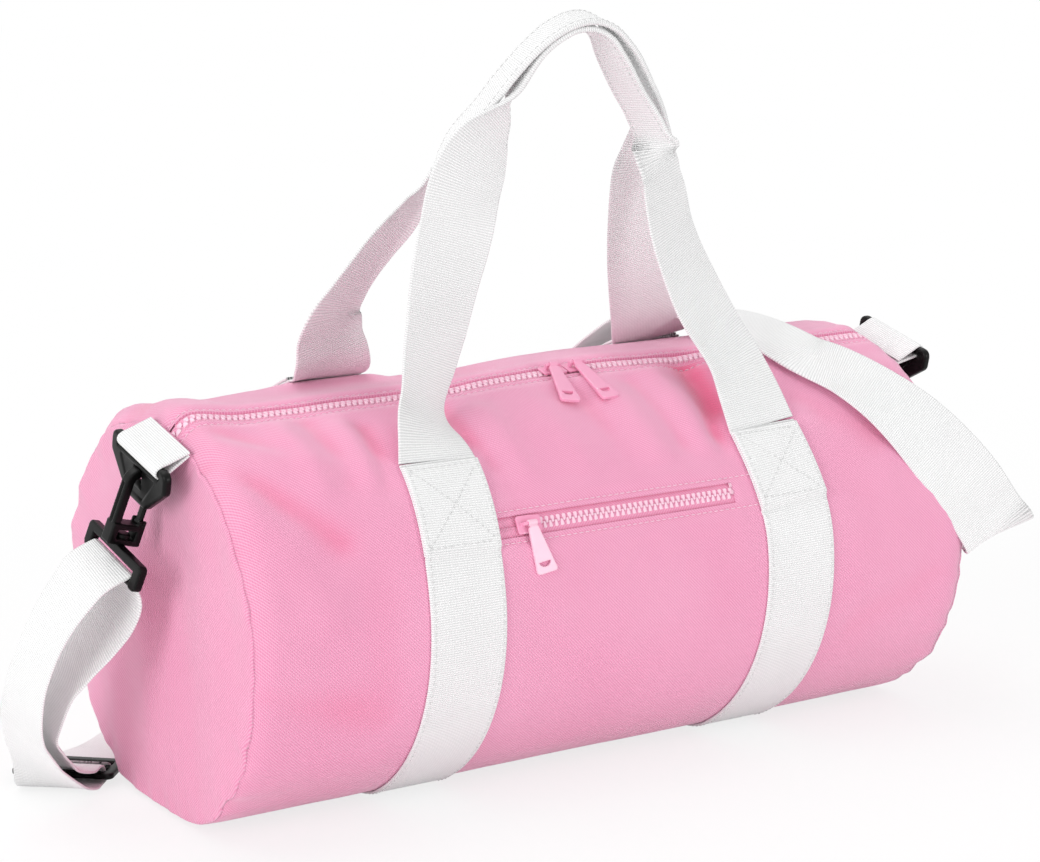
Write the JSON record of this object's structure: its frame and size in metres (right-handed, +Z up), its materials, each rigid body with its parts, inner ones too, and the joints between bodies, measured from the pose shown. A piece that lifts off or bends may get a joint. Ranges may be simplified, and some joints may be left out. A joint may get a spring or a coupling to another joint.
{
  "type": "barrel bag",
  "caption": "Cylindrical fabric holdall lying on its side, with a zip along the top, a zipped front pocket, webbing handles and a clip-on shoulder strap.",
  "frame": {"origin": "on the floor under the middle of the bag, at the level of the bands' undersides", "axes": "+X along the barrel to the right seen from the front, -Y the front with the pocket, +Z up"},
  "size_m": [0.6461, 0.3342, 0.4526],
  "materials": {
    "twill": "fine diagonal twill, matt",
    "webbing": "ribbed flat webbing, matt",
    "zip_tape": "woven tape, matt",
    "zip_teeth": "moulded, satin",
    "clip_plastic": "moulded, semi-gloss",
    "binding": "plain tape, matt",
    "zip_pull": "painted, satin",
    "zip_slider": "painted, satin",
    "thread": "sewing thread",
    "lining": "plain weave, matt"
  },
  "bodies": {
    "bag": {"barrel_panel": "twill", "front_left_handle_end": "webbing", "front_right_handle_end": "webbing", "front_zip_tape": "zip_tape", "front_zip_teeth": "zip_teeth", "left_band": "webbing", "left_end_panel": "twill", "left_seam_binding": "binding", "left_tab_loop": "webbing", "pocket_end_tack": "thread", "pocket_lining": "lining", "pocket_lower_zip_tape": "zip_tape", "pocket_lower_zip_teeth": "zip_teeth", "pocket_upper_zip_tape": "zip_tape", "pocket_upper_zip_teeth": "zip_teeth", "rear_left_handle_end": "webbing", "rear_right_handle_end": "webbing", "rear_zip_tape": "zip_tape", "rear_zip_teeth": "zip_teeth", "right_band": "webbing", "right_end_panel": "twill", "right_seam_binding": "binding", "right_tab_loop": "webbing", "shoulder_strap": "webbing", "strap_adjuster": "clip_plastic"},
    "front_handle": {"front_handle": "webbing"},
    "rear_handle": {"rear_handle": "webbing"},
    "main_slider_left": {"main_slider_left": "zip_slider"},
    "main_slider_right": {"main_slider_right": "zip_slider"},
    "main_pull_left": {"main_pull_left": "zip_pull"},
    "main_pull_right": {"main_pull_right": "zip_pull"},
    "pocket_slider": {"pocket_slider": "zip_slider"},
    "pocket_pull": {"pocket_pull": "zip_pull"},
    "left_ring": {"left_ring": "clip_plastic"},
    "left_hook": {"left_hook": "clip_plastic"},
    "left_gate": {"left_gate": "clip_plastic"},
    "left_buckle": {"left_buckle": "clip_plastic"},
    "right_ring": {"right_ring": "clip_plastic"},
    "right_hook": {"right_hook": "clip_plastic"},
    "right_gate": {"right_gate": "clip_plastic"},
    "right_buckle": {"right_buckle": "clip_plastic"}
  },
  "joints": [
    {"name": "front_handle_hinge", "type": "hinge", "parent": "bag", "child": "front_handle", "pos_m": [0, -0.08782, 0.20467], "axis": [1, 0, 0], "range_deg": [0, 112], "deforming": ["shoulder_strap"]},
    {"name": "rear_handle_hinge", "type": "hinge", "parent": "bag", "child": "rear_handle", "pos_m": [0, 0.03838, 0.23497], "axis": [-1, 0, 0], "range_deg": [0, 112], "deforming": ["shoulder_strap"]},
    {"name": "main_slide_left", "type": "slide", "parent": "bag", "child": "main_slider_left", "axis": [-1, 0, 0], "range_m": [0, 0.2], "deforming": ["front_zip_tape", "rear_zip_tape", "front_zip_teeth", "rear_zip_teeth"]},
    {"name": "main_slide_right", "type": "slide", "parent": "bag", "child": "main_slider_right", "axis": [1, 0, 0], "range_m": [0, 0.195], "deforming": ["front_zip_tape", "rear_zip_tape", "front_zip_teeth", "rear_zip_teeth", "shoulder_strap"]},
    {"name": "main_pull_left_hinge", "type": "hinge", "parent": "main_slider_left", "child": "main_pull_left", "pos_m": [0, -0.02982, 0.24107], "axis": [-1, 0, 0], "range_deg": [0, 145]},
    {"name": "main_pull_right_hinge", "type": "hinge", "parent": "main_slider_right", "child": "main_pull_right", "pos_m": [0.017, -0.02982, 0.24107], "axis": [-1, 0, 0], "range_deg": [0, 145]},
    {"name": "pocket_slide", "type": "slide", "parent": "bag", "child": "pocket_slider", "axis": [1, 0, 0], "range_m": [0, 0.135], "deforming": ["pocket_lower_zip_tape", "pocket_upper_zip_tape", "pocket_lower_zip_teeth", "pocket_upper_zip_teeth"]},
    {"name": "pocket_pull_hinge", "type": "hinge", "parent": "pocket_slider", "child": "pocket_pull", "pos_m": [-0.071, -0.11578, 0.17084], "axis": [-1, 0, 0], "range_deg": [0, 145]},
    {"name": "left_ring_hinge", "type": "hinge", "parent": "bag", "child": "left_ring", "pos_m": [-0.2686, -0.02393, 0.21652], "axis": [0, 0.9724, 0.2334], "range_deg": [-3, 50], "deforming": ["shoulder_strap"]},
    {"name": "left_hook_hinge", "type": "hinge", "parent": "left_ring", "child": "left_hook", "pos_m": [-0.2686, -0.01989, 0.1997], "axis": [0, -0.9724, -0.2334], "range_deg": [-3, 12], "deforming": ["shoulder_strap"]},
    {"name": "left_gate_hinge", "type": "hinge", "parent": "left_hook", "child": "left_gate", "pos_m": [-0.26726, -0.0143, 0.17639], "axis": [0, -0.9724, -0.2334], "range_deg": [0, 9], "stiffness_Nm_per_rad": 0.02},
    {"name": "left_buckle_swivel", "type": "hinge", "parent": "left_hook", "child": "left_buckle", "pos_m": [-0.2686, -0.01989, 0.1997], "axis": [-0.2588, 0.2255, -0.9392], "range_deg": [-30, 30], "deforming": ["shoulder_strap"]},
    {"name": "right_ring_hinge", "type": "hinge", "parent": "bag", "child": "right_ring", "pos_m": [0.2686, -0.02755, 0.23159], "axis": [0, -0.9724, -0.2334], "range_deg": [-3, 50], "deforming": ["shoulder_strap"]},
    {"name": "right_hook_hinge", "type": "hinge", "parent": "right_ring", "child": "right_hook", "pos_m": [0.2686, -0.02351, 0.21477], "axis": [0, 0.9724, 0.2334], "range_deg": [-3, 12], "deforming": ["shoulder_strap"]},
    {"name": "right_gate_hinge", "type": "hinge", "parent": "right_hook", "child": "right_gate", "pos_m": [0.26726, -0.01791, 0.19147], "axis": [0, 0.9724, 0.2334], "range_deg": [0, 9], "stiffness_Nm_per_rad": 0.02},
    {"name": "right_buckle_swivel", "type": "hinge", "parent": "right_hook", "child": "right_buckle", "pos_m": [0.2686, -0.02351, 0.21477], "axis": [0.2588, 0.2255, -0.9392], "range_deg": [-30, 30], "deforming": ["shoulder_strap"]}
  ],
  "couplings": [
    {"joint": "rear_handle_hinge", "follows": "front_handle_hinge", "ratio": 1}
  ]
}
